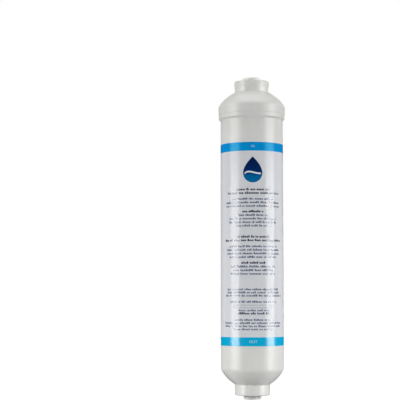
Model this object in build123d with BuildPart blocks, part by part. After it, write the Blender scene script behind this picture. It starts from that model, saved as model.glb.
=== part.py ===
"""In-line water filter cartridge for a refrigerator's feed pipe.

A welded plastic barrel and cap hold a bed of granular carbon between two felt pads and
two strainers. Each neck holds a push-in pipe port: a seal, a spacer, a retainer and a
sliding collet with steel teeth. Lengths are in millimetres. Z is the cartridge's axis,
with the inlet at the top, and Z = 0 is the outer end of the outlet collet.
"""

import math
import os

from build123d import *

os.makedirs("parts", exist_ok=True)

# Overall
overall_length = 262.0

# Barrel: a moulded tube with a dished outlet end
body_radius = 25.5
body_wall = 2.8
outlet_neck_radius = 14.4
outlet_neck_length = 9.0
outlet_neck_edge = 1.3
outlet_dome_height = 11.85  # neck's root to the corner that the knuckle rounds off
outlet_knuckle_radius = 5.8

# Cap: a dished inlet end with a skirt that is welded over the barrel
cap_overhang = 1.75  # how far the cap stands out past the barrel
cap_wall = 2.8
inlet_neck_radius = 13.8
inlet_neck_length = 9.1
inlet_neck_edge = 0.7
inlet_lip_step = 0.35
inlet_lip_height = 3.9
inlet_dome_height = 11.86  # neck's root to the corner that the knuckle rounds off
inlet_knuckle_radius = 4.7
shoulder_height = 7.0  # that corner to the rim's step
rim_step = 0.24
rim_height = 3.0
rim_chamfer_height = 1.6
rim_ledge = 0.2  # flat under the rim, past the barrel
weld_depth = 9.5  # length of barrel inside the skirt
weld_step = 0.4  # how much the barrel is turned down inside the skirt
weld_gap = 0.05
spigot_length = 5.0
spigot_wall = 2.4
root_fillet = 0.6  # where a neck meets its dome

# Ribs inside both domes
rib_count = 6
rib_thickness = 1.6

# Push-in port for quarter-inch pipe, the same in both necks
pipe_radius = 3.175
pipe_clearance = 0.075
pipe_depth = 16.5  # neck end to pipe stop
flow_radius = 2.3
boss_wall = 2.4
boss_floor = 2.0
retainer_radius = 10.5
spacer_radius = 8.0
spacer_thickness = 1.2
spacer_clearance = 0.1
seal_section = 1.78
seal_inner_radius = 3.07
seal_clearance = 0.03
seal_room = 0.3  # spare length in the seal's groove

# Sliding collet
collet_travel = 1.0
collet_flange_radius = 7.2
collet_flange_thickness = 1.9
collet_flange_edge = 0.4
collet_flange_gap = 0.1  # flange to neck end when pressed in
collet_stem_radius = 4.8
collet_head_radius = 5.9
collet_end_depth = 5.6  # neck end to the fingers' tips
collet_end_gap = 0.4  # fingers' tips to spacer when pressed in
collet_entry_chamfer = 0.4
collet_gap = 0.2  # running gap between collet and retainer
collet_lead = 0.6  # chamfer on the fingers' tips
finger_count = 4
slot_width = 0.8
slot_length = 5.0
tooth_thickness = 0.4
tooth_width = 2.2
tooth_setback = 0.5  # fingers' tips to the teeth
tooth_bite = 0.2  # how far a tooth stands into the bore
tooth_root = 1.5  # how deep a tooth is set in its finger

# Retainer
retainer_lip = 1.6
retainer_cone = 2.4

# Filter bed
bed_clearance = 0.2
strainer_clearance = 0.3
strainer_thickness = 2.0
strainer_seat = 1.3  # outlet strainer above the top of the dome
strainer_slot_width = 1.5
strainer_inner_slots = 6
strainer_outer_slots = 12
strainer_hub = 3.0  # radius of the solid middle
strainer_ring = 11.0  # radius of the solid ring between the two rows of slots
strainer_web = 2.4  # width of that ring
strainer_rim = 3.0  # width of the solid rim
pad_thickness = 5.0

# Printed film wrapped round the barrel
label_lower_margin = 18.1  # bare barrel below it
label_upper_margin = 20.0  # bare barrel above it
label_thickness = 0.12
label_glue = 0.03
label_seam = 1.5


def dome_reach(neck_radius, wall_radius, height):
    """From a neck's root to the centre of the ball that passes through the root and the wall's corner."""
    return (wall_radius**2 - neck_radius**2 + height**2) / (2 * height)


def rise(crown_radius, radius):
    """Height of a dome's crown above its centre, at a distance from the axis."""
    return math.sqrt(crown_radius**2 - radius**2)


def knuckle_height(crown_radius, knuckle_radius, radius):
    """Height above the crown's centre at which the knuckle leaves an upright wall."""
    return rise(crown_radius - knuckle_radius, radius - knuckle_radius)


# Depths inside a port, from the neck's end
collet_stand = collet_flange_thickness + collet_travel + collet_flange_gap
retainer_depth = collet_end_depth + collet_travel + collet_end_gap
spacer_floor = retainer_depth + spacer_thickness
seal_floor = spacer_floor + seal_section + seal_room
tooth_depth = collet_end_depth - tooth_setback - tooth_thickness
boss_depth = pipe_depth + boss_floor

# Radii inside a port
port_bore_radius = pipe_radius + pipe_clearance
spacer_pocket_radius = spacer_radius + spacer_clearance
seal_cavity_radius = seal_inner_radius + seal_section + seal_clearance
boss_radius = seal_cavity_radius + boss_wall
boss_root_radius = spacer_pocket_radius + boss_wall

# Outlet dome
outlet_face = collet_stand
outlet_root = outlet_face + outlet_neck_length
outlet_reach = dome_reach(outlet_neck_radius, body_radius, outlet_dome_height)
outlet_crown_radius = math.hypot(outlet_neck_radius, outlet_reach)
outlet_centre = outlet_root + outlet_reach
outlet_tangent = outlet_centre - knuckle_height(outlet_crown_radius, outlet_knuckle_radius, body_radius)
body_corner = outlet_root + outlet_dome_height

# Inlet dome and rim
cap_radius = body_radius + cap_overhang
inlet_face = overall_length - collet_stand
inlet_root = inlet_face - inlet_neck_length
inlet_reach = dome_reach(inlet_neck_radius, cap_radius, inlet_dome_height)
inlet_crown_radius = math.hypot(inlet_neck_radius, inlet_reach)
inlet_centre = inlet_root - inlet_reach
inlet_lip_bottom = inlet_face - inlet_lip_height
inlet_lip_radius = inlet_neck_radius + inlet_lip_step
cap_corner = inlet_root - inlet_dome_height
rim_radius = cap_radius - rim_step
rim_top = cap_corner - shoulder_height
rim_bottom = rim_top - rim_height - rim_chamfer_height

# Weld between barrel and cap
bore_inside = body_radius - body_wall
tongue_radius = body_radius - weld_step
skirt_inner = tongue_radius + weld_gap
spigot_outer = bore_inside - weld_gap
spigot_inner = spigot_outer - spigot_wall
barrel_top = rim_bottom + weld_depth
spigot_end = barrel_top - spigot_length

# Filter bed
strainer_radius = bore_inside - strainer_clearance
outlet_seat = outlet_tangent + strainer_seat
bed_bottom = outlet_seat + strainer_thickness + pad_thickness
bed_top = spigot_end - strainer_thickness - pad_thickness

# Ports: each plane lies on a neck's end and points out of it
inlet_port = Plane(origin=(0, 0, inlet_face), x_dir=(1, 0, 0), z_dir=(0, 0, 1))
outlet_port = Plane(origin=(0, 0, outlet_face), x_dir=(1, 0, 0), z_dir=(0, 0, -1))
ports = {"inlet": inlet_port, "outlet": outlet_port}


def section(port):
    """Plane through a port's axis: X is the radius and Y points out of the neck."""
    return Plane(origin=port.origin, x_dir=port.x_dir, z_dir=-port.y_dir)


def port_axis(port):
    return Axis(port.origin, port.z_dir)


def corner(sketch, x, y):
    """The corner of a sketch nearest to a point, in the sketch's own plane."""
    return sketch.vertices().sort_by_distance((x, y, 0))[0]


def port_bore(port):
    """Half outline of the stepped bore that is cut into a neck."""
    with BuildSketch(section(port)) as bore:
        with BuildLine():
            Polyline(
                (0, 0),
                (retainer_radius, 0),
                (retainer_radius, -retainer_depth),
                (spacer_pocket_radius, -retainer_depth),
                (spacer_pocket_radius, -spacer_floor),
                (seal_cavity_radius, -spacer_floor),
                (seal_cavity_radius, -seal_floor),
                (port_bore_radius, -seal_floor),
                (port_bore_radius, -pipe_depth),
                (flow_radius, -pipe_depth),
                (flow_radius, -boss_depth),
                (0, -boss_depth),
                close=True,
            )
        make_face()
    return bore.sketch


def port_boss(port):
    """Half outline of the stepped boss that stands into the cartridge round a bore."""
    with BuildSketch(section(port)) as boss:
        with BuildLine():
            Polyline(
                (0, 0),
                (boss_root_radius, 0),
                (boss_root_radius, -spacer_floor - boss_wall),
                (boss_radius, -spacer_floor - boss_wall),
                (boss_radius, -boss_depth),
                (0, -boss_depth),
                close=True,
            )
        make_face()
    return boss.sketch


def rib_outline(plane, length):
    """Ribs that run out from a boss, on a plane across the axis."""
    with BuildSketch(plane) as ribs:
        with PolarLocations(0, rib_count):
            Rectangle(length, rib_thickness, align=(Align.MIN, Align.CENTER))
        Circle(boss_radius, mode=Mode.SUBTRACT)
    return ribs.sketch


# Barrel
body_inner_crown = outlet_crown_radius - body_wall
body_inner_apex = outlet_centre - body_inner_crown
body_inner_corner = outlet_centre - rise(body_inner_crown, bore_inside)

with BuildPart() as body_hollow:
    with BuildSketch(Plane.XZ) as hollow:
        with BuildLine():
            RadiusArc((0, body_inner_apex), (bore_inside, body_inner_corner), -body_inner_crown)
            Polyline(
                (bore_inside, body_inner_corner),
                (bore_inside, barrel_top),
                (0, barrel_top),
                (0, body_inner_apex),
            )
        make_face()
        fillet(corner(hollow, bore_inside, body_inner_corner), outlet_knuckle_radius - body_wall)
    revolve(axis=Axis.Z)
    revolve(port_boss(outlet_port), axis=port_axis(outlet_port), mode=Mode.SUBTRACT)
    ribs = rib_outline(Plane.XY.offset(outlet_face), body_radius)
    extrude(ribs, amount=outlet_seat - outlet_face, mode=Mode.SUBTRACT)

with BuildPart() as housing_body:
    with BuildSketch(Plane.XZ) as outline:
        with BuildLine():
            Polyline((0, outlet_face), (outlet_neck_radius, outlet_face), (outlet_neck_radius, outlet_root))
            RadiusArc((outlet_neck_radius, outlet_root), (body_radius, body_corner), -outlet_crown_radius)
            Polyline(
                (body_radius, body_corner),
                (body_radius, rim_bottom),
                (tongue_radius, rim_bottom),
                (tongue_radius, barrel_top),
                (0, barrel_top),
                (0, outlet_face),
            )
        make_face()
        fillet(corner(outline, body_radius, body_corner), outlet_knuckle_radius)
        fillet(corner(outline, outlet_neck_radius, outlet_root), root_fillet)
        fillet(corner(outline, outlet_neck_radius, outlet_face), outlet_neck_edge)
    revolve(axis=Axis.Z)
    add(body_hollow.part, mode=Mode.SUBTRACT)
    revolve(port_bore(outlet_port), axis=port_axis(outlet_port), mode=Mode.SUBTRACT)
housing_body.part.label = "housing_body"
export_step(housing_body.part, "parts/housing_body.step")

# Cap
cap_inner_crown = inlet_crown_radius - cap_wall
cap_inner_apex = inlet_centre + cap_inner_crown
cap_spigot_root = inlet_centre + rise(cap_inner_crown, spigot_inner)

with BuildPart() as cap_hollow:
    with BuildSketch(Plane.XZ):
        with BuildLine():
            Polyline(
                (0, cap_inner_apex),
                (0, rim_bottom),
                (skirt_inner, rim_bottom),
                (skirt_inner, barrel_top),
                (spigot_outer, barrel_top),
                (spigot_outer, spigot_end),
                (spigot_inner, spigot_end),
                (spigot_inner, cap_spigot_root),
            )
            RadiusArc((spigot_inner, cap_spigot_root), (0, cap_inner_apex), -cap_inner_crown)
        make_face()
    revolve(axis=Axis.Z)
    revolve(port_boss(inlet_port), axis=port_axis(inlet_port), mode=Mode.SUBTRACT)
    ribs = rib_outline(Plane.XY.offset(inlet_face - boss_depth), spigot_outer)
    extrude(ribs, amount=boss_depth, mode=Mode.SUBTRACT)

with BuildPart() as inlet_cap:
    with BuildSketch(Plane.XZ) as outline:
        with BuildLine():
            Polyline(
                (0, rim_bottom),
                (body_radius + rim_ledge, rim_bottom),
                (rim_radius, rim_bottom + rim_chamfer_height),
                (rim_radius, rim_top),
                (cap_radius, rim_top + rim_step),
                (cap_radius, cap_corner),
            )
            RadiusArc((cap_radius, cap_corner), (inlet_neck_radius, inlet_root), -inlet_crown_radius)
            Polyline(
                (inlet_neck_radius, inlet_root),
                (inlet_neck_radius, inlet_lip_bottom - inlet_lip_step),
                (inlet_lip_radius, inlet_lip_bottom),
                (inlet_lip_radius, inlet_face),
                (0, inlet_face),
                (0, rim_bottom),
            )
        make_face()
        fillet(corner(outline, cap_radius, cap_corner), inlet_knuckle_radius)
        fillet(corner(outline, inlet_neck_radius, inlet_root), root_fillet)
        fillet(corner(outline, inlet_lip_radius, inlet_face), inlet_neck_edge)
    revolve(axis=Axis.Z)
    add(cap_hollow.part, mode=Mode.SUBTRACT)
    revolve(port_bore(inlet_port), axis=port_axis(inlet_port), mode=Mode.SUBTRACT)
inlet_cap.part.label = "inlet_cap"
export_step(inlet_cap.part, "parts/inlet_cap.step")

# Label
label_inner = body_radius + label_glue
label_bottom = outlet_tangent + label_lower_margin
label_top = rim_bottom - label_upper_margin

with BuildPart() as label_wrap:
    with BuildSketch(Plane.XY.offset(label_bottom)):
        Circle(label_inner + label_thickness)
        Circle(label_inner, mode=Mode.SUBTRACT)
        with Locations((0, body_radius)):
            Rectangle(label_seam, body_radius, mode=Mode.SUBTRACT)
    extrude(amount=label_top - label_bottom)
label_wrap.part.label = "label_wrap"
export_step(label_wrap.part, "parts/label_wrap.step")

# Retainer: a ring welded into the neck, with a cone that closes the collet's fingers
retainer_bore = collet_stem_radius + collet_gap
chamber_radius = collet_head_radius + 2 * collet_gap


def build_retainer(port, name):
    with BuildPart() as retainer:
        with BuildSketch(section(port)):
            with BuildLine():
                Polyline(
                    (retainer_bore, 0),
                    (retainer_radius - weld_gap, 0),
                    (retainer_radius - weld_gap, -retainer_depth),
                    (chamber_radius, -retainer_depth),
                    (chamber_radius, -retainer_lip - retainer_cone),
                    (retainer_bore, -retainer_lip),
                    close=True,
                )
            make_face()
        revolve(axis=port_axis(port))
    retainer.part.label = name
    export_step(retainer.part, f"parts/{name}.step")


# Spacer: a flat washer between the retainer and the seal
def build_spacer(port, name):
    with BuildPart() as spacer:
        with BuildSketch(port.offset(-spacer_floor)):
            Circle(spacer_radius)
            Circle(port_bore_radius, mode=Mode.SUBTRACT)
        extrude(amount=spacer_thickness)
    spacer.part.label = name
    export_step(spacer.part, f"parts/{name}.step")


# Seal: an O-ring that rests against the spacer
def build_seal(port, name):
    seal_radius = seal_section / 2
    with BuildPart() as seal:
        with BuildSketch(section(port)):
            with Locations((seal_inner_radius + seal_radius, -spacer_floor - seal_radius)):
                Circle(seal_radius)
        revolve(axis=port_axis(port))
    seal.part.label = name
    export_step(seal.part, f"parts/{name}.step")


# Collet: a flanged sleeve, slotted into fingers whose heads run inside the retainer's cone
cone_slope = (chamber_radius - retainer_bore) / retainer_cone
head_depth = retainer_lip + (collet_head_radius - collet_stem_radius) / cone_slope
tooth_tip = port_bore_radius - tooth_bite
tooth_length = tooth_bite + tooth_root


def tooth_outline():
    """One tooth for each finger, midway between the slots."""
    with BuildSketch() as teeth:
        with PolarLocations(0, finger_count, start_angle=180 / finger_count):
            with Locations((tooth_tip, 0)):
                Rectangle(tooth_length, tooth_width, align=(Align.MIN, Align.CENTER))
    return teeth.sketch


def build_collet(port, name):
    with BuildPart() as collet:
        with BuildSketch(section(port)) as outline:
            with BuildLine():
                Polyline(
                    (port_bore_radius + collet_entry_chamfer, collet_stand),
                    (collet_flange_radius, collet_stand),
                    (collet_flange_radius, collet_stand - collet_flange_thickness),
                    (collet_stem_radius, collet_stand - collet_flange_thickness),
                    (collet_stem_radius, -retainer_lip),
                    (collet_head_radius, -head_depth),
                    (collet_head_radius, -collet_end_depth + collet_lead),
                    (collet_head_radius - collet_lead, -collet_end_depth),
                    (port_bore_radius, -collet_end_depth),
                    (port_bore_radius, collet_stand - collet_entry_chamfer),
                    close=True,
                )
            make_face()
            chamfer(corner(outline, collet_flange_radius, collet_stand), collet_flange_edge)
        revolve(axis=port_axis(port))
        with BuildSketch(port.offset(-collet_end_depth)):
            with PolarLocations(0, finger_count):
                Rectangle(collet_flange_radius, slot_width, align=(Align.MIN, Align.CENTER))
        extrude(amount=slot_length, mode=Mode.SUBTRACT)
        with BuildSketch(port.offset(-tooth_depth)):
            add(tooth_outline())
        extrude(amount=-tooth_thickness, mode=Mode.SUBTRACT)
    collet.part.label = name
    export_step(collet.part, f"parts/{name}.step")


# Teeth: steel blades set in the fingers
def build_teeth(port, name):
    with BuildPart() as teeth:
        with BuildSketch(port.offset(-tooth_depth)):
            add(tooth_outline())
        extrude(amount=-tooth_thickness)
    teeth.part.label = name
    export_step(teeth.part, f"parts/{name}.step")


for end, port in ports.items():
    build_retainer(port, f"{end}_retainer")
    build_spacer(port, f"{end}_spacer")
    build_seal(port, f"{end}_seal")
    build_collet(port, f"{end}_collet")
    build_teeth(port, f"{end}_collet_teeth")

# Strainers: slotted discs that hold the bed in, one at each end
slot_rows = (
    (strainer_hub, strainer_ring - strainer_web / 2, strainer_inner_slots),
    (strainer_ring + strainer_web / 2, strainer_radius - strainer_rim, strainer_outer_slots),
)


def build_strainer(bottom, name):
    with BuildPart() as strainer:
        with BuildSketch(Plane.XY.offset(bottom)):
            Circle(strainer_radius)
            for row_start, row_end, slot_count in slot_rows:
                with PolarLocations(row_start, slot_count, start_angle=180 / slot_count):
                    Rectangle(
                        row_end - row_start,
                        strainer_slot_width,
                        align=(Align.MIN, Align.CENTER),
                        mode=Mode.SUBTRACT,
                    )
        extrude(amount=strainer_thickness)
    strainer.part.label = name
    export_step(strainer.part, f"parts/{name}.step")


# Pads: felt discs, die-cut, between each strainer and the carbon
def build_pad(bottom, name):
    with BuildPart() as pad:
        with BuildSketch(Plane.XY.offset(bottom)):
            Circle(strainer_radius)
        extrude(amount=pad_thickness)
    pad.part.label = name
    export_step(pad.part, f"parts/{name}.step")


build_strainer(outlet_seat, "outlet_strainer")
build_pad(outlet_seat + strainer_thickness, "outlet_pad")
build_pad(bed_top, "inlet_pad")
build_strainer(bed_top + pad_thickness, "inlet_strainer")

# Carbon: the packed granules, as one bed
with BuildPart() as carbon_bed:
    with BuildSketch(Plane.XY.offset(bed_bottom)):
        Circle(bore_inside - bed_clearance)
    extrude(amount=bed_top - bed_bottom)
carbon_bed.part.label = "carbon_bed"
export_step(carbon_bed.part, "parts/carbon_bed.step")
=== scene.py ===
# %% [markdown]
# # In-line water filter cartridge
# This lesson dresses a small plumbing part: a white moulded cartridge with a dished end at each
# side, a welded cap, a printed film wrapped round the barrel and a push-in pipe port in each neck.
# The solid model is loaded first, at its real size in metres, with Z along the cartridge's axis and
# the front of the label facing -Y. The moulded shells already have their true shape there, so they
# keep it and get a finish. The printed film, its ink and the felt inside are modelled here.

# %% Load the solid model
import math
import random

import bpy
from mathutils import Euler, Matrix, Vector


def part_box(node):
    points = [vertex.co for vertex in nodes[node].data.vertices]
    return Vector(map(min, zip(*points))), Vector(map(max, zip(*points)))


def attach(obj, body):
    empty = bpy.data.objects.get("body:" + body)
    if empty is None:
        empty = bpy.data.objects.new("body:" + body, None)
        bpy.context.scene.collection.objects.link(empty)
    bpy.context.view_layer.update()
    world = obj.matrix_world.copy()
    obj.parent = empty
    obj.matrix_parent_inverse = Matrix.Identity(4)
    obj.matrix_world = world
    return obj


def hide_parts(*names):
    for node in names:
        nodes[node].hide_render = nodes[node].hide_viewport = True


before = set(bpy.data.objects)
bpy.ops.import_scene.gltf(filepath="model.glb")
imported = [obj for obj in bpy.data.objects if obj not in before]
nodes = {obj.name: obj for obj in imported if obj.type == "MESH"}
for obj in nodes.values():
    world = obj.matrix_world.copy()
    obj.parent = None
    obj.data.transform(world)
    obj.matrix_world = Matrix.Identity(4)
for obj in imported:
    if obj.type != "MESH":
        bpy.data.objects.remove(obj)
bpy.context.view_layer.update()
bpy.ops.object.select_all(action="DESELECT")

# %% [markdown]
# ## Camera
# The photograph was taken with a long lens, nearly level, from about a metre away. The lower colour
# band is seen edge-on in it, so the eye is a little above that height. The camera is turned to put
# the cartridge right of the middle and tipped up to fit it in.

# %% Camera
eye_distance = 1.05
eye_height = 0.0812
lens_length = 115.6
tip_up = 4.383
turn_left = 2.32
sensor_width = 36

bpy.ops.object.camera_add(
    location=(0, -eye_distance, eye_height),
    rotation=(math.radians(90 + tip_up), 0, math.radians(turn_left)),
)
camera = bpy.context.object
camera.name = "camera"
camera.data.lens = lens_length
camera.data.sensor_width = sensor_width
bpy.context.scene.camera = camera
print("camera at", [round(c, 3) for c in camera.location], "lens", lens_length)

# %% [markdown]
# ## Working in edit mode
# The pieces below start as primitives and are shaped in edit mode. A few helpers keep that short.
# `only` makes a piece the one selected object, because an operator acts on all that is selected.
# `pick` selects vertices or faces by a test, as a click or a box would. `slice_columns` cuts a flat
# piece into narrow columns, so that it can be bent later. `apply_modifier` adds a modifier, sets it
# up and applies it, and `seat` lets a finished piece move with a body of the model.

# %% Helpers for modelling
millimetre = 0.001
upright = (math.pi / 2, 0, 0)  # turns a flat primitive to face the front
crease = math.radians(40)  # edges sharper than this stay sharp


def only(piece):
    """Make a piece the one selected and active object."""
    bpy.ops.object.select_all(action="DESELECT")
    piece.select_set(True)
    bpy.context.view_layer.objects.active = piece


def pick(piece, kind, wanted):
    """In edit mode, select the vertices or faces that pass a test."""
    bpy.ops.mesh.select_mode(type=kind)
    bpy.ops.mesh.select_all(action="DESELECT")
    bpy.ops.object.mode_set(mode="OBJECT")
    for part in piece.data.vertices if kind == "VERT" else piece.data.polygons:
        part.select = wanted(part)
    bpy.ops.object.mode_set(mode="EDIT")


def slice_columns(piece, pitch):
    """In edit mode, cut a flat piece into columns of this width."""
    bpy.ops.object.mode_set(mode="OBJECT")
    reach = max(vertex.co.x for vertex in piece.data.vertices)
    bpy.ops.object.mode_set(mode="EDIT")
    columns = int(reach / pitch)
    for column in range(-columns, columns + 1):
        bpy.ops.mesh.select_all(action="SELECT")
        bpy.ops.mesh.bisect(plane_co=(column * pitch, 0, 0), plane_no=(1, 0, 0))


def apply_modifier(piece, kind, **settings):
    """Add a modifier, set it up and apply it."""
    only(piece)
    modifier = piece.modifiers.new("step", kind)
    for name, value in settings.items():
        setattr(modifier, name, value)
    bpy.ops.object.modifier_apply(modifier=modifier.name)


def seat(piece, body):
    """Let a finished piece move with a body."""
    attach(piece, body)
    print(piece.name, "has", len(piece.data.polygons), "faces")


# %% [markdown]
# ## Building a finish
# Every material starts from the same few nodes. A noise on Object coordinates varies the gloss and
# raises a fine bump, so that no surface is perfectly even, and another moves the colour a little.
# Object coordinates are in metres, so a noise scale of 1000 is a pattern of about 1 mm.

# %% Helpers for materials
def screen(red, green, blue):
    """A colour given as screen values from 0 to 255, in the linear values that a shader needs."""
    values = [value / 255 for value in (red, green, blue)]
    return (*[v / 12.92 if v <= 0.04045 else ((v + 0.055) / 1.055) ** 2.4 for v in values], 1.0)


class Finish:
    """A material with a Principled shader, and short ways to wire nodes to it."""

    def __init__(self, name, **values):
        self.material = bpy.data.materials.new(name)
        self.material.use_nodes = True
        self.tree = self.material.node_tree
        self.shader = self.tree.nodes["Principled BSDF"]
        self.place = self.add("TexCoord").outputs["Object"]
        for socket, value in values.items():
            self.shader.inputs[socket.replace("_", " ")].default_value = value

    def add(self, kind, **values):
        """Add a node and set its inputs."""
        node = self.tree.nodes.new("ShaderNode" + kind)
        for socket, value in values.items():
            node.inputs[socket.replace("_", " ")].default_value = value
        return node

    def link(self, output, socket):
        self.tree.links.new(output, socket)

    def noise(self, size, detail=3.0, stretch=(1, 1, 1)):
        """A noise whose blotches are about this many metres across."""
        mapping = self.add("Mapping", Scale=stretch)
        noise = self.add("TexNoise", Scale=1 / size, Detail=detail)
        self.link(self.place, mapping.inputs["Vector"])
        self.link(mapping.outputs["Vector"], noise.inputs["Vector"])
        return noise.outputs["Fac"]

    def spread(self, value, start, end, low=0.3, high=0.7):
        """Move a value that lies between low and high to between start and end."""
        spread = self.add("MapRange", From_Min=low, From_Max=high, To_Min=start, To_Max=end)
        self.link(value, spread.inputs["Value"])
        return spread.outputs["Result"]

    def colour(self, value, *stops):
        """Colour the surface along a value, with stops of a position and a colour."""
        ramp = self.add("ValToRGB")
        while len(ramp.color_ramp.elements) < len(stops):
            ramp.color_ramp.elements.new(0.5)
        for element, (position, shade) in zip(ramp.color_ramp.elements, stops):
            element.position = position
            element.color = shade
        self.link(value, ramp.inputs["Fac"])
        self.link(ramp.outputs["Color"], self.shader.inputs["Base Color"])

    def rough(self, value):
        self.link(value, self.shader.inputs["Roughness"])

    def bump(self, value, depth):
        """Raise a bump of this depth in metres."""
        bump = self.add("Bump", Distance=depth)
        self.link(value, bump.inputs["Height"])
        self.link(bump.outputs["Normal"], self.shader.inputs["Normal"])


def dress(piece, *finishes):
    """Give a piece these finishes in place of its own."""
    piece.data.materials.clear()
    for finish in finishes:
        piece.data.materials.append(finish.material)


# %% [markdown]
# ## Moulded plastics
# The barrel and the cap are injection-moulded polypropylene, a warm white. Such plastic is never
# quite mirror-smooth: the mould leaves a fine skin, and the melt leaves patches of slightly different
# gloss. The retainers, spacers and collets in the ports are acetal, a denser plastic that is a
# little whiter and silkier. One function makes both, each with its own shades and gloss.

# %% Moulded plastics
def moulded_plastic(name, shade, deep_shade, gloss, skin_depth):
    """A moulded plastic with a soft tint, uneven gloss and a fine skin."""
    finish = Finish(name, IOR=1.49)
    finish.colour(finish.noise(0.045, detail=2.0), (0.35, deep_shade), (0.65, shade))
    finish.rough(finish.spread(finish.noise(0.012), gloss - 0.03, gloss + 0.04))
    finish.bump(finish.noise(0.0009, detail=4.0), skin_depth)
    return finish


housing_plastic = moulded_plastic(
    "housing_plastic", screen(234, 234, 231), screen(231, 231, 227), gloss=0.31, skin_depth=0.000006
)
acetal = moulded_plastic(
    "acetal", screen(240, 240, 237), screen(236, 236, 232), gloss=0.4, skin_depth=0.000004
)
for node in ("housing_body", "inlet_cap"):
    dress(nodes[node], housing_plastic)
for end in ("inlet", "outlet"):
    for part in ("retainer", "spacer", "collet"):
        dress(nodes[f"{end}_{part}"], acetal)
print("plastics on", sum(len(n.data.materials) for n in nodes.values()), "nodes")

# %% [markdown]
# ## Steel, rubber, strainer and carbon
# Inside each port, the collet's teeth are stamped spring steel with a fine grain along the sheet,
# and the seal is black rubber with a dull bloom. The strainers are an unpolished natural plastic.
# The bed is crushed carbon: a Voronoi pattern of 1 mm cells gives its grains, each with its own
# shade, and the same cells raise the bump.

# %% Steel, rubber, strainer and carbon
spring_steel = Finish("spring_steel", Metallic=1.0)
sheet_grain = spring_steel.noise(0.0002, stretch=(1, 12, 1))
spring_steel.colour(sheet_grain, (0.3, screen(190, 190, 188)), (0.7, screen(212, 212, 210)))
spring_steel.rough(spring_steel.spread(sheet_grain, 0.25, 0.4))

seal_rubber = Finish("seal_rubber", IOR=1.45)
bloom = seal_rubber.noise(0.0015)
seal_rubber.colour(bloom, (0.3, screen(22, 22, 23)), (0.7, screen(38, 38, 39)))
seal_rubber.rough(seal_rubber.spread(bloom, 0.5, 0.7))
seal_rubber.bump(seal_rubber.noise(0.0001), 0.000004)

strainer_plastic = moulded_plastic(
    "strainer_plastic", screen(222, 221, 214), screen(214, 213, 205), gloss=0.5, skin_depth=0.00001
)

carbon = Finish("carbon_granules", IOR=1.6)
grains = carbon.add("TexVoronoi", Scale=1000)
carbon.link(carbon.place, grains.inputs["Vector"])
carbon.colour(grains.outputs["Color"], (0.1, screen(16, 16, 17)), (0.9, screen(52, 52, 54)))
carbon.rough(carbon.spread(grains.outputs["Distance"], 0.45, 0.8, low=0.0, high=0.6))
carbon.bump(carbon.spread(grains.outputs["Distance"], 1.0, 0.0, low=0.0, high=0.6), 0.0004)

for end in ("inlet", "outlet"):
    dress(nodes[f"{end}_collet_teeth"], spring_steel)
    dress(nodes[f"{end}_seal"], seal_rubber)
    dress(nodes[f"{end}_strainer"], strainer_plastic)
dress(nodes["carbon_bed"], carbon)
print("finishes on the inner pieces")

# %% [markdown]
# ## Printed film
# The label is a glossy film, printed flat and then wrapped round the barrel with its seam at the
# back. It is made the same way here: a flat grid, cut where the two colour bands begin, then bent
# round by a Simple Deform modifier. Bending last keeps the print easy to lay out, because all of it
# is still flat and measured in plain lengths. The bend keeps the front still and brings the sides
# back, so the piece then moves forward by the radius, and lies round the axis.

# %% Film sizes
film_low, film_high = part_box("label_wrap")
film_radius = film_high.x
film_thickness = 0.12 * millimetre
seam_gap = 1.5 * millimetre
film_width = 2 * math.pi * film_radius - seam_gap
film_height = film_high.z - film_low.z
band_height = 7.0 * millimetre
inlet_band = film_high.z - band_height  # lower edge of the upper band
outlet_band = film_low.z + band_height  # upper edge of the lower band
bend_steps = 192
column_pitch = 0.6 * millimetre  # columns of a printed motif, so that it bends
film_turn = math.radians(-1.7)  # the film was stuck on a little to the right


def wrap_round(piece, radius):
    """Bend a flat piece, drawn in the XZ plane, round the axis at this radius."""
    across = [vertex.co.x for vertex in piece.data.vertices]
    arc = (max(across) - min(across)) / radius
    apply_modifier(piece, "SIMPLE_DEFORM", deform_method="BEND", deform_axis="Z", angle=arc)
    bpy.ops.object.mode_set(mode="EDIT")
    bpy.ops.mesh.select_all(action="SELECT")
    bpy.ops.transform.translate(value=(0, -radius, 0))
    bpy.ops.transform.rotate(value=film_turn, orient_axis="Z", center_override=(0, 0, 0))
    bpy.ops.object.mode_set(mode="OBJECT")


print("film", round(film_width * 1000, 1), "by", round(film_height * 1000, 1), "mm")

# %% Film, still flat
bpy.ops.mesh.primitive_grid_add(x_subdivisions=bend_steps, y_subdivisions=1, size=1, rotation=upright)
film = bpy.context.object
film.name = "label_film"
bpy.ops.object.transform_apply(rotation=True)
bpy.ops.object.mode_set(mode="EDIT")
bpy.ops.mesh.select_all(action="SELECT")
bpy.ops.transform.resize(value=(film_width, 1, film_height), center_override=(0, 0, 0))
bpy.ops.transform.translate(value=(0, 0, film_low.z + film_height / 2))
for height in (inlet_band, outlet_band):
    bpy.ops.mesh.select_all(action="SELECT")
    bpy.ops.mesh.bisect(plane_co=(0, 0, height), plane_no=(0, 0, 1))
bpy.ops.object.mode_set(mode="OBJECT")
print("film rows", len(film.data.polygons) // bend_steps)

# %% [markdown]
# ## Film inks
# Three finishes share one glossy clear face: the white ground, a blue for the inlet band and a
# greener blue for the outlet band. The shine of the inlet blue is tinted, so that the pale stripes
# across it stay blue. The film follows small unevenness of the barrel, so a low, wide bump bends
# the reflections a little, and a faint mottle keeps the ink from looking flat.

# %% Film inks
def printed_film(name, ink, deep_ink, shine, glint=(1, 1, 1, 1)):
    """Glossy film with a faintly mottled ink, a slight waviness and a tint to its shine."""
    finish = Finish(name, IOR=shine, Specular_Tint=glint)
    finish.colour(finish.noise(0.004), (0.3, deep_ink), (0.7, ink))
    finish.rough(finish.spread(finish.noise(0.02), 0.16, 0.21))
    finish.bump(finish.noise(0.012, detail=1.0), 0.00002)
    return finish


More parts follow.
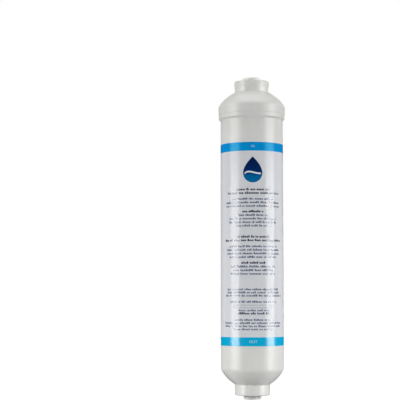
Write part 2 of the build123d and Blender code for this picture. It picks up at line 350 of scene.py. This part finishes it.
film_white = printed_film("film_white", screen(228, 230, 234), screen(225, 227, 232), shine=1.34)
inlet_blue = printed_film(
    "film_inlet_blue", screen(0, 157, 232), screen(0, 151, 225), shine=1.46, glint=screen(130, 252, 252)
)
outlet_blue = printed_film("film_outlet_blue", screen(0, 186, 234), screen(0, 180, 228), shine=1.55)
dress(film, film_white, inlet_blue, outlet_blue)

only(film)
bpy.ops.object.mode_set(mode="EDIT")
pick(film, "FACE", lambda face: face.center.z > inlet_band)
film.active_material_index = 1
bpy.ops.object.material_slot_assign()
pick(film, "FACE", lambda face: face.center.z < outlet_band)
film.active_material_index = 2
bpy.ops.object.material_slot_assign()
bpy.ops.object.mode_set(mode="OBJECT")

wrap_round(film, film_radius)
apply_modifier(film, "SOLIDIFY", thickness=film_thickness, offset=-1)
bpy.ops.object.shade_smooth_by_angle(angle=crease)
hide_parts("label_wrap")
seat(film, "cartridge")

# %% [markdown]
# ## Inks
# Everything else on the label is ink, printed under the same clear gloss as the film. Each printed
# motif is a flat sheet of faces that is bent round the barrel a hair's breadth above the film and
# then thickened. Its colour may change along the height, so that one ink can run from dark to light.

# %% Inks
ink_lift = 0.02 * millimetre
ink_thickness = 0.03 * millimetre
ink_radius = film_radius + ink_lift + ink_thickness


def printing_ink(name, *stops, shine=1.45):
    """Glossy ink, with its colour along the height."""
    finish = Finish(name, IOR=shine)
    height = finish.add("SeparateXYZ")
    finish.link(finish.place, height.inputs["Vector"])
    low, high = stops[0][0], stops[-1][0]
    along = finish.spread(height.outputs["Z"], 0.0, 1.0, low=low, high=high)
    finish.colour(along, *[((z - low) / (high - low), shade) for z, shade in stops])
    finish.rough(finish.spread(finish.noise(0.002), 0.1, 0.18))
    return finish


def lay_ink(sheet, finish, lift=0):
    """Wrap a flat sheet of ink round the film and thicken it."""
    dress(sheet, finish)
    wrap_round(sheet, ink_radius + lift)
    apply_modifier(sheet, "SOLIDIFY", thickness=ink_thickness, offset=-1)
    seat(sheet, "cartridge")


small_shine = 1.57  # fades the small print in the pale stripes
text_ink = printing_ink(
    "text_ink", (0.05, screen(104, 113, 144)), (0.17, screen(86, 94, 130)), shine=small_shine
)
heading_ink = printing_ink(
    "heading_ink",
    (0.06, screen(84, 90, 118)),
    (0.1, screen(46, 52, 86)),
    (0.17, screen(42, 47, 80)),
    shine=small_shine,
)
print("ink lies", round((ink_radius - film_radius) * 1e6), "micrometres above the film")

# %% [markdown]
# ## Rows of small print
# Labels like this carry paragraphs of small print under short headings. Here both are plain blocks
# the size of letters, grouped into words, which read as print from a step away and say nothing. The
# rows are built flat: one small plane for each letter, with its width and height drawn from a seeded
# random source, so that the result is the same every time. The headings are bolder and darker, so
# they are a sheet of their own.

# %% Building rows
letter_widths = (0.5, 0.9, 1.0, 1.1)
letter_height = 1.1
tall_letter = 1.6
tall_share = 0.3
letter_gap = 0.28
word_gap = 0.9
dice = random.Random(7)


def add_block(x, z, width, height):
    """In edit mode, add one upright block with its lower left corner here, in millimetres."""
    centre = Vector((x + width / 2, 0, z + height / 2)) * millimetre
    bpy.ops.mesh.primitive_plane_add(size=millimetre, location=centre, rotation=upright)
    bpy.ops.transform.resize(value=(width, 1, height), center_override=centre)


def add_row(z, row_width, weight):
    """Add a row of words, centred on the front."""
    x = -row_width / 2
    letters = dice.randint(3, 8)
    while x < row_width / 2:
        if letters == 0:
            x += word_gap
            letters = dice.randint(2, 9)
        width = dice.choice(letter_widths) * weight
        height = tall_letter if dice.random() < tall_share else letter_height
        add_block(x, z, width, height * weight)
        x += width + letter_gap
        letters -= 1


def blank_sheet(name):
    """A mesh with nothing in it yet, in edit mode."""
    bpy.ops.mesh.primitive_plane_add(size=millimetre)
    sheet = bpy.context.object
    sheet.name = name
    bpy.ops.object.mode_set(mode="EDIT")
    bpy.ops.mesh.select_all(action="SELECT")
    bpy.ops.mesh.delete(type="VERT")
    return sheet


def print_rows(name, blocks, weight, finish):
    """Print blocks of rows: the lowest edge of the first row, the pitch and the width of each row."""
    sheet = blank_sheet(name)
    for first_row, pitch, row_widths in blocks:
        for row, row_width in enumerate(row_widths):
            add_row(first_row - row * pitch, row_width, weight)
    bpy.ops.object.mode_set(mode="OBJECT")
    print(name, "letters", len(sheet.data.polygons))
    lay_ink(sheet, finish)


# %% Rows of small print, in millimetres
main_pitch = 2.85
fine_pitch = 2.5
plain_weight = 1.0
bold_weight = 1.15
paragraphs = (
    (160.0, main_pitch, (36, 49, 49)),
    (147.0, main_pitch, (24, 41, 42, 29)),
    (122.0, main_pitch, (41, 47, 47, 41)),
    (105.8, main_pitch, (38, 34, 39)),
    (87.7, fine_pitch, (46, 46, 51)),
    (77.8, fine_pitch, (40,)),
    (71.0, fine_pitch, (26,)),
    (63.5, fine_pitch, (34, 52, 52, 34)),
)
headings = (
    (167.5, main_pitch, (27, 45)),
    (149.8, main_pitch, (17,)),
    (129.6, main_pitch, (27, 51)),
    (108.8, main_pitch, (19,)),
    (68.5, fine_pitch, (25,)),
)
print_rows("small_print", paragraphs, plain_weight, text_ink)
print_rows("headings", headings, bold_weight, heading_ink)

# %% [markdown]
# ## Date box
# Between the lower paragraphs is an empty frame with a fine outline, where a fitter writes the date.
# It is one plane, inset by the width of the line, with the middle deleted.

# %% Date box
box_width = 33.0
box_height = 2.4
box_bottom = 73.6
box_line = 0.25 * millimetre

date_box = blank_sheet("date_box")
add_block(-box_width / 2, box_bottom, box_width, box_height)
bpy.ops.mesh.inset(thickness=box_line)
bpy.ops.mesh.delete(type="FACE")
slice_columns(date_box, column_pitch)
bpy.ops.object.mode_set(mode="OBJECT")
lay_ink(date_box, text_ink)

# %% [markdown]
# ## Emblem
# Above the small print goes a plain water drop. It starts as a filled circle. Its top vertex is
# pulled up with proportional editing, which draws its neighbours along and makes the point. Narrow
# columns then let it follow the barrel. Its ink runs from navy at the top to blue at the foot.

# %% Emblem drop
drop_centre = 181.6 * millimetre
drop_radius = 7.8 * millimetre
drop_pull = 5.2 * millimetre
drop_reach = drop_radius * 1.4  # how far the pull draws the rim along
top_vertex = drop_radius * 0.9999  # only the highest vertex lies above this

bpy.ops.mesh.primitive_circle_add(vertices=96, radius=drop_radius, fill_type="NGON", rotation=upright)
drop = bpy.context.object
drop.name = "emblem_drop"
bpy.ops.object.transform_apply(rotation=True)
bpy.ops.object.mode_set(mode="EDIT")
pick(drop, "VERT", lambda vertex: vertex.co.z > top_vertex)
bpy.ops.transform.translate(
    value=(0, 0, drop_pull),
    use_proportional_edit=True,
    proportional_edit_falloff="SHARP",
    proportional_size=drop_reach,
)
slice_columns(drop, column_pitch)
bpy.ops.mesh.select_all(action="SELECT")
bpy.ops.transform.translate(value=(0, 0, drop_centre))
bpy.ops.object.mode_set(mode="OBJECT")
drop_foot = drop_centre - drop_radius
drop_top = drop_centre + drop_radius + drop_pull
blue_above_foot = drop_centre - drop_radius * 0.35
navy_below_top = drop_centre + drop_radius * 0.15
print("drop from", round(drop_foot * 1000, 1), "to", round(drop_top * 1000, 1), "mm")

drop_ink = printing_ink(
    "emblem_ink",
    (drop_foot, screen(0, 112, 172)),
    (blue_above_foot, screen(0, 104, 166)),
    (navy_below_top, screen(6, 44, 104)),
    (drop_top, screen(4, 28, 78)),
)
lay_ink(drop, drop_ink)

# %% [markdown]
# ## Wave across the emblem
# A white wave crosses the drop where its two blues meet. It begins as a curve with two handles, made
# a mesh and extruded upwards, so its stroke is broad where it runs level and fine where it slopes,
# like the stroke of a broad pen.

# %% Emblem wave
wave_reach = 6.6 * millimetre
wave_height = 1.3 * millimetre
wave_lift = ink_thickness + ink_lift
wave_foot = drop_centre - drop_radius * 0.15

bpy.ops.curve.primitive_bezier_curve_add(radius=wave_reach, rotation=upright)
wave = bpy.context.object
wave.name = "emblem_wave"
wave.data.resolution_u = 24
bpy.ops.object.convert(target="MESH")
bpy.ops.object.transform_apply(rotation=True)
bpy.ops.object.mode_set(mode="EDIT")
bpy.ops.mesh.select_all(action="SELECT")
bpy.ops.transform.translate(value=(0, 0, wave_foot))
bpy.ops.mesh.extrude_region_move(TRANSFORM_OT_translate={"value": (0, 0, wave_height)})
bpy.ops.mesh.select_all(action="SELECT")
bpy.ops.mesh.normals_make_consistent(inside=False)
bpy.ops.object.mode_set(mode="OBJECT")
print("wave faces", len(wave.data.polygons), [round(c, 2) for c in wave.data.polygons[0].normal])

wave_ink = printing_ink("wave_ink", (0.17, screen(228, 236, 244)), (0.19, screen(234, 240, 246)))
lay_ink(wave, wave_ink, wave_lift)

# %% [markdown]
# ## Words on the bands
# The bands say which way the water runs, as on any such cartridge: IN at the top and OUT at the foot.
# Each word is a text object made a mesh, sliced into columns and bent like the rest of the ink. The
# slices leave vertices almost on top of each other, and these are merged first.

# %% Words on the bands
word_ink = printing_ink("word_ink", (0.04, screen(190, 232, 247)), (0.21, screen(186, 222, 245)))
inlet_word_size = 3.0 * millimetre
outlet_word_size = 3.2 * millimetre
curve_steps = 4
merge_distance = 0.02 * millimetre


def band_word(name, word, size, height):
    """Print a word on the front of the film, centred at this height."""
    bpy.ops.object.text_add(rotation=upright)
    text = bpy.context.object
    text.name = name
    text.data.body = word
    text.data.size = size
    text.data.resolution_u = curve_steps
    text.data.align_x = "CENTER"
    text.data.align_y = "CENTER"
    bpy.ops.object.convert(target="MESH")
    bpy.ops.object.transform_apply(rotation=True)
    bpy.ops.object.mode_set(mode="EDIT")
    slice_columns(text, column_pitch)
    bpy.ops.mesh.select_all(action="SELECT")
    bpy.ops.mesh.remove_doubles(threshold=merge_distance)
    bpy.ops.transform.translate(value=(0, 0, height))
    bpy.ops.object.mode_set(mode="OBJECT")
    lay_ink(text, word_ink)


band_word("inlet_word", "IN", inlet_word_size, (inlet_band + film_high.z) / 2)
band_word("outlet_word", "OUT", outlet_word_size, (outlet_band + film_low.z) / 2)

# %% [markdown]
# ## Felt pads
# A disc of felt at each end of the carbon keeps fines out of the ports. Felt is cut with a die, so
# the edge is square but soft. Each disc is a cylinder whose faces are inset into rings and whose
# rims are bevelled. A Displace modifier with a cloud texture then dents it, only ever inwards, so
# that it stays between the strainer and the bed.

# %% Felt
felt = Finish("felt", Sheen_Weight=0.25, Sheen_Roughness=0.6)
fibres = felt.noise(0.0006, detail=8.0, stretch=(1, 1, 3))
felt.colour(fibres, (0.3, screen(206, 204, 196)), (0.7, screen(232, 231, 225)))
felt.rough(felt.spread(fibres, 0.85, 1.0))
felt.bump(fibres, 0.0003)

dent_texture = bpy.data.textures.new("felt_dents", "CLOUDS")
dent_texture.noise_scale = 0.006
dent_depth = 0.25 * millimetre
soft_rim = 0.6 * millimetre
ring_width = 2.2 * millimetre
ring_count = 9


def felt_pad(name, node):
    """A die-cut felt disc in the place of a node."""
    low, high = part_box(node)
    bpy.ops.mesh.primitive_cylinder_add(
        vertices=96, radius=high.x, depth=high.z - low.z, location=(low + high) / 2
    )
    pad = bpy.context.object
    pad.name = name
    bpy.ops.object.transform_apply(location=True)
    bpy.ops.object.mode_set(mode="EDIT")
    pick(pad, "FACE", lambda face: abs(face.normal.z) > 0.9)
    bpy.ops.mesh.bevel(offset=soft_rim, segments=3, affect="EDGES")
    for ring in range(ring_count):
        pick(pad, "FACE", lambda face: len(face.vertices) > 4)
        bpy.ops.mesh.inset(thickness=ring_width)
    bpy.ops.object.mode_set(mode="OBJECT")
    apply_modifier(
        pad,
        "DISPLACE",
        texture=dent_texture,
        texture_coords="LOCAL",
        strength=-dent_depth,
        mid_level=0.0,
    )
    bpy.ops.object.shade_smooth_by_angle(angle=crease)
    dress(pad, felt)
    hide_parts(node)
    seat(pad, "cartridge")


felt_pad("inlet_felt", "inlet_pad")
felt_pad("outlet_felt", "outlet_pad")

# %% [markdown]
# ## Lights
# The photograph has a softbox on each side, which lights the sides of the barrel more than its
# middle and draws a pale stripe down each side of the film. Both are tipped towards the foot, so the
# barrel is a little brighter there. A dimmer strip above each softbox only shows in reflections and
# carries the stripes up to the cap, and a low sill in front of each carries them down to the foot of
# the film. Small cards beside the two necks do the same for them, because their reflections pass the
# softboxes by. Two lamps behind light the back and the edges, and don't show in reflections. A light
# overhead picks out the upper dome. The energy of a lamp is worked out from the brightness that its
# face should have.

# %% Soft lights
scene = bpy.context.scene
scene.view_settings.view_transform = "Standard"
middle = Vector((0, 0, 0.13))
foot = Vector((0, 0, -0.15))
neck = Vector((0, 0, 0.25))
beam = math.radians(120)
card_distance = 0.06
card_height = 0.015
inlet_card = 0.261
outlet_card = 0.008
sill = 0.031


def lamp_place(turn, rise, distance):
    """A place round the middle of the cartridge, turned and raised in degrees."""
    away = Vector((0, -distance, 0))
    away.rotate(Euler((math.radians(-rise), 0, math.radians(turn))))
    return middle + away


def soft_light(name, place, target, width, height, brightness, glare=True, spill=True):
    """A rectangular lamp that faces a target.

    Without glare it doesn't show in reflections, and without spill it only shows in them.
    """
    turned = (place - target).to_track_quat("Z", "Y").to_euler()
    bpy.ops.object.light_add(type="AREA", location=place, rotation=turned)
    lamp = bpy.context.object
    lamp.name = name
    lamp.data.shape = "RECTANGLE"
    lamp.data.size = width
    lamp.data.size_y = height
    lamp.data.spread = beam
    lamp.visible_camera = False
    lamp.visible_glossy = glare
    lamp.visible_diffuse = spill
    lamp.data.energy = brightness * math.pi * width * height
    print(name, [round(c, 2) for c in lamp.location], round(lamp.data.energy, 2), "W")


def side_card(name, turn, level, width, brightness, distance=card_distance, height=card_height):
    """A card beside the axis, with its middle at this level, that only shows in reflections."""
    place = lamp_place(turn, 0, distance)
    place.z = level
    soft_light(name, place, Vector((0, 0, level)), width, height, brightness, spill=False)


soft_light("softbox_left", lamp_place(-64, 0.9, 0.8), foot, width=0.46, height=0.29, brightness=4.2)
soft_light("softbox_right", lamp_place(70, 0.9, 0.8), foot, width=0.48, height=0.29, brightness=4.4)
soft_light(
    "strip_left", lamp_place(-64, 24, 0.88), neck,
    width=0.46, height=0.16, brightness=1.9, spill=False,
)
soft_light(
    "strip_right", lamp_place(70, 24, 0.88), neck,
    width=0.48, height=0.16, brightness=2.4, spill=False,
)
side_card("sill_left", -64, sill, width=0.29, brightness=1.6, distance=0.5, height=0.06)
side_card("sill_right", 70, sill, width=0.29, brightness=1.6, distance=0.5, height=0.06)
side_card("card_inlet_left", -60, inlet_card, width=0.045, brightness=0.9)
side_card("card_inlet_right", 77, inlet_card, width=0.036, brightness=1.5)
side_card("card_outlet_left", -55, outlet_card, width=0.028, brightness=1.7)
side_card("card_outlet_right", 61, outlet_card, width=0.028, brightness=2.0)
soft_light(
    "lamp_back_left", lamp_place(-135, 20, 1.2), middle,
    width=0.9, height=0.6, brightness=0.7, glare=False,
)
soft_light(
    "lamp_back_right", lamp_place(135, 20, 1.2), middle,
    width=0.9, height=0.6, brightness=0.8, glare=False,
)
soft_light("softbox_top", lamp_place(0, 88, 1.2), middle, width=0.9, height=0.9, brightness=0.85)

# %% [markdown]
# ## Dark flags
# A photographer sets dark flags round a glossy object, so that its printed colours aren't veiled by
# the reflection of a white room. One stands behind the camera and one behind each softbox. Another
# hangs high at the back and draws the edge of the upper dome, and a sheet on the floor does so for
# the lower one. The sheet has a hole under the object and in front of it, which keeps the middle of
# that dome light. Flags only show in reflections, and block neither the camera nor the light.

# %% Dark flags
velvet = bpy.data.materials.new("flag_velvet")
velvet.use_nodes = True
velvet_shader = velvet.node_tree.nodes["Principled BSDF"]
velvet_shader.inputs["Base Color"].default_value = (0.005, 0.005, 0.005, 1)
velvet_shader.inputs["Specular IOR Level"].default_value = 0.0
flag_distance = 1.1
flag_height = 1.6
floor_width = 2.2
back_low = 0.5
back_high = 1.2
back_width = 0.8
floor_hole = 0.1
hole_forward = 0.046


def dark_flag(name, place, turned, width, height):
    """A dark panel that only shows in reflections."""
    bpy.ops.mesh.primitive_plane_add(size=1, location=place, rotation=turned)
    flag = bpy.context.object
    flag.name = name
    flag.scale = (width, height, 1)
    flag.data.materials.append(velvet)
    flag.visible_camera = False
    flag.visible_diffuse = False
    flag.visible_shadow = False


def standing_flag(name, turn, width):
    """A dark panel that stands round the set, turned in degrees from the front."""
    angle = math.radians(turn)
    place = Vector((math.sin(angle), -math.cos(angle), 0)) * flag_distance
    place.z = flag_height / 2
    dark_flag(name, place, (math.pi / 2, 0, angle), width, flag_height)


standing_flag("flag_front", 0, 2.3)
standing_flag("flag_left", -127, 1.75)
standing_flag("flag_right", 127, 1.75)
back_place = (0, flag_distance, (back_low + back_high) / 2)
dark_flag("flag_back", back_place, (-math.pi / 2, 0, 0), back_width, back_high - back_low)
dark_flag("flag_floor", (0, 0, millimetre), (0, 0, 0), floor_width, floor_width)
bpy.ops.object.mode_set(mode="EDIT")
bpy.ops.mesh.select_all(action="SELECT")
bpy.ops.mesh.inset(thickness=(1 - floor_hole / floor_width) / 2)
bpy.ops.transform.translate(value=(0, -hole_forward, 0))
bpy.ops.mesh.delete(type="FACE")
bpy.ops.object.mode_set(mode="OBJECT")
print("flags", flag_distance, "m away")

# %% [markdown]
# ## Surround and ground
# The ground is pale, shows as white and keeps the shadow. The surround shows as white too, to the
# camera and in reflections, and lights the object at a lower level. A Light Path node tells the two
# kinds of ray apart.

# %% Surround and ground
surround_level = 0.33
ground_shade = 0.33
ground_glow = 0.9
ground_drop = 0.2 * millimetre
ground_size = 40


def seen_directly(tree):
    """One for rays from the camera, a mirror or glass, and zero for light that spreads."""
    path = tree.nodes.new("ShaderNodeLightPath")
    total = path.outputs["Is Camera Ray"]
    for kind in ("Is Glossy Ray", "Is Transmission Ray"):
        either = tree.nodes.new("ShaderNodeMath")
        either.operation = "MAXIMUM"
        tree.links.new(total, either.inputs[0])
        tree.links.new(path.outputs[kind], either.inputs[1])
        total = either.outputs[0]
    return total


world = bpy.data.worlds.new("surround")
world.use_nodes = True
scene.world = world
level = world.node_tree.nodes.new("ShaderNodeMapRange")
level.inputs["To Min"].default_value = surround_level
level.inputs["To Max"].default_value = 1.0
world.node_tree.links.new(seen_directly(world.node_tree), level.inputs["Value"])
background = world.node_tree.nodes["Background"]
background.inputs["Color"].default_value = (1, 1, 1, 1)
world.node_tree.links.new(level.outputs["Result"], background.inputs["Strength"])

bpy.ops.mesh.primitive_plane_add(size=ground_size, location=(0, 0, -ground_drop))
ground = bpy.context.object
ground.name = "ground"
paper = bpy.data.materials.new("ground_paper")
paper.use_nodes = True
tree = paper.node_tree
tree.nodes.remove(tree.nodes["Principled BSDF"])
matt = tree.nodes.new("ShaderNodeBsdfDiffuse")
matt.inputs["Color"].default_value = (ground_shade, ground_shade, ground_shade, 1)
glow = tree.nodes.new("ShaderNodeEmission")
glow_level = tree.nodes.new("ShaderNodeMath")
glow_level.operation = "MULTIPLY"
glow_level.inputs[1].default_value = ground_glow
tree.links.new(seen_directly(tree), glow_level.inputs[0])
tree.links.new(glow_level.outputs[0], glow.inputs["Strength"])
both = tree.nodes.new("ShaderNodeAddShader")
tree.links.new(matt.outputs[0], both.inputs[0])
tree.links.new(glow.outputs[0], both.inputs[1])
tree.links.new(both.outputs[0], tree.nodes["Material Output"].inputs["Surface"])
ground.data.materials.append(paper)
print("surround", surround_level, "ground", ground_shade)
